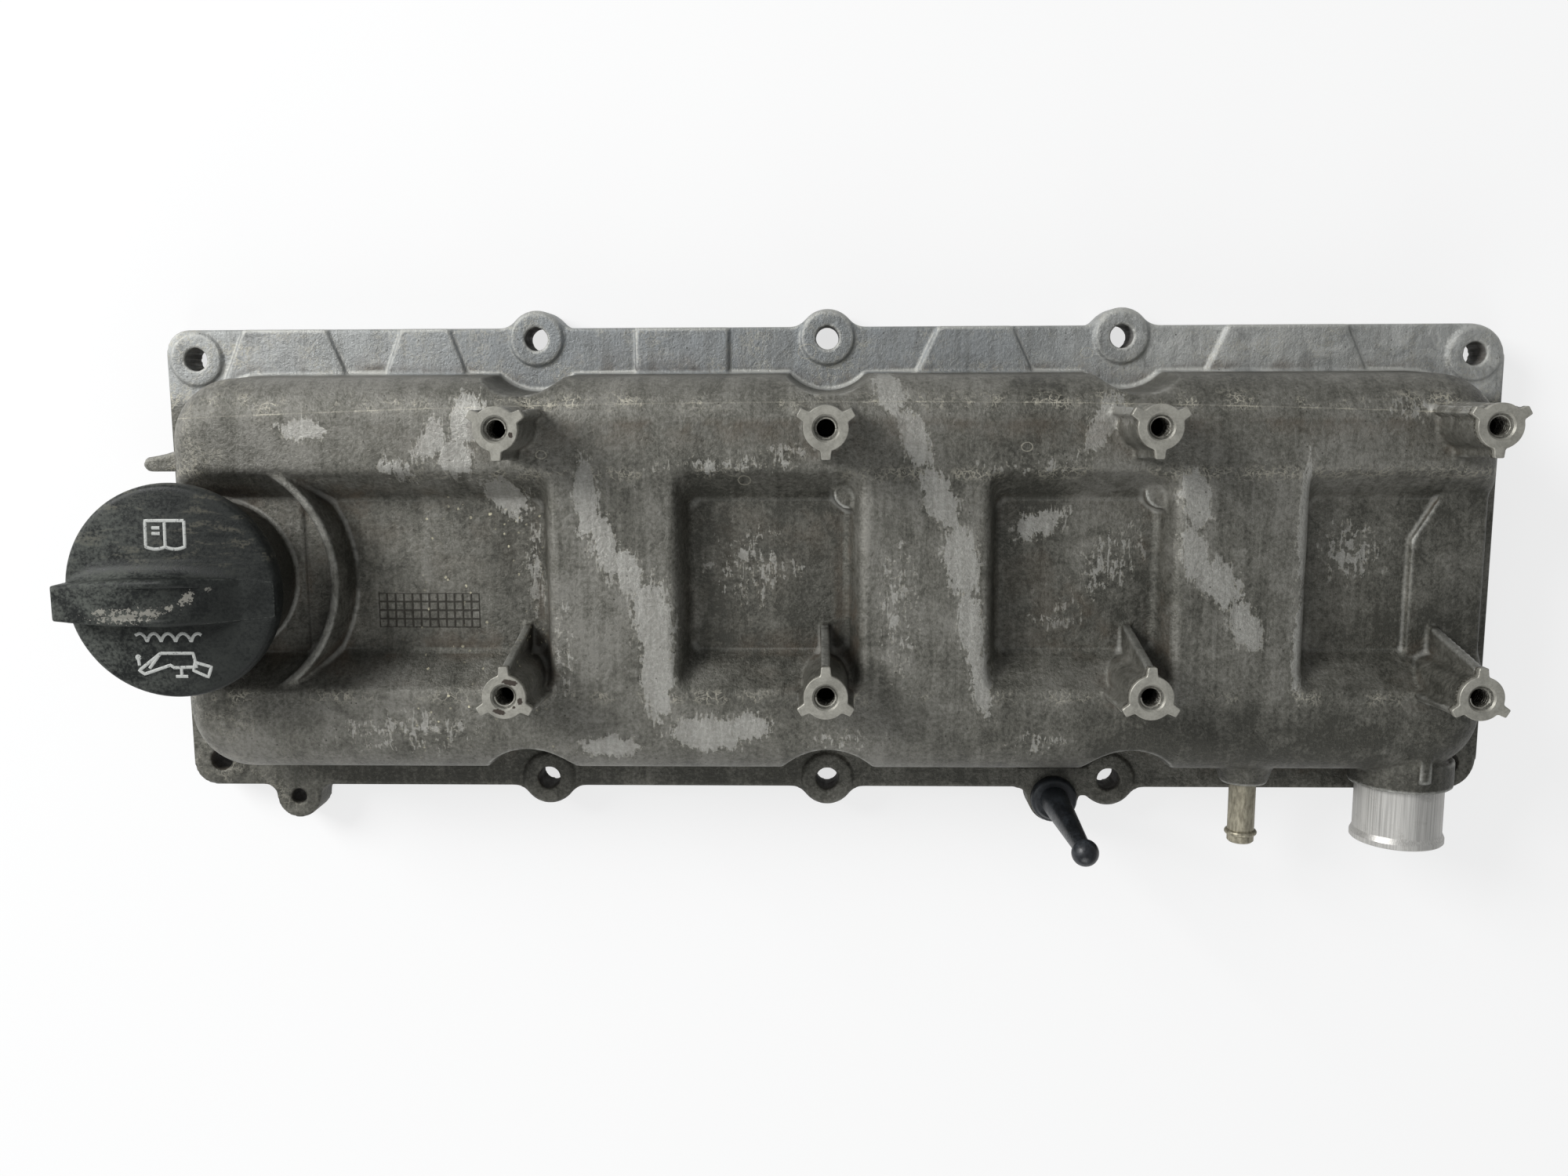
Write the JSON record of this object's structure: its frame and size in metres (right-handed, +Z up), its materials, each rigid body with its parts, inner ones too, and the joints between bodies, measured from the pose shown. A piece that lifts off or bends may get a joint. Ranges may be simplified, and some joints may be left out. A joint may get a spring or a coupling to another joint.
{
  "type": "engine valve cover",
  "caption": "Long cast aluminium engine valve cover with sunk pockets, ribbed bosses, bolt flange, oil filler neck with screw cap, breather pipes and ball stud.",
  "frame": {"origin": "centre of the four corner bolt holes, on the gasket face of the flange", "axes": "+X along the cover away from the filler neck, +Y across it away from the breather pipes, +Z up from the gasket face"},
  "size_m": [0.4018, 0.1569, 0.0728],
  "materials": {
    "cast_aluminium": "weathered die casting",
    "gasket_rubber": "moulded",
    "pressed_steel": "oily pressed sheet",
    "zinc_steel": "zinc plated",
    "bright_aluminium": "satin drawn tube",
    "yellow_zinc": "dull yellow zinc plated",
    "black_steel": "black coated",
    "seal_rubber": "moulded",
    "cap_plastic": "dusty moulded plastic"
  },
  "bodies": {
    "cover": {"cover_casting": "cast_aluminium", "cover_gasket": "gasket_rubber", "baffle_plate": "pressed_steel", "baffle_screw_1": "zinc_steel", "baffle_screw_2": "zinc_steel", "baffle_screw_3": "zinc_steel", "baffle_screw_4": "zinc_steel", "baffle_screw_5": "zinc_steel", "breather_pipe": "bright_aluminium", "vent_nipple": "yellow_zinc", "ball_stud": "black_steel"},
    "seal": {"cap_seal": "seal_rubber"},
    "cap": {"filler_cap": "cap_plastic"}
  },
  "joints": [
    {"name": "cap_lift", "type": "slide", "parent": "cover", "child": "seal", "axis": [0, 0, 1], "range_m": [0, 0.012]},
    {"name": "cap_turn", "type": "hinge", "parent": "seal", "child": "cap", "pos_m": [-0.1755, -0.0013, 0.06], "axis": [0, 0, 1], "range_deg": [0, 540]}
  ],
  "couplings": [
    {"joint": "cap_lift", "follows": "cap_turn", "m_per_rad": 0.0012731}
  ]
}
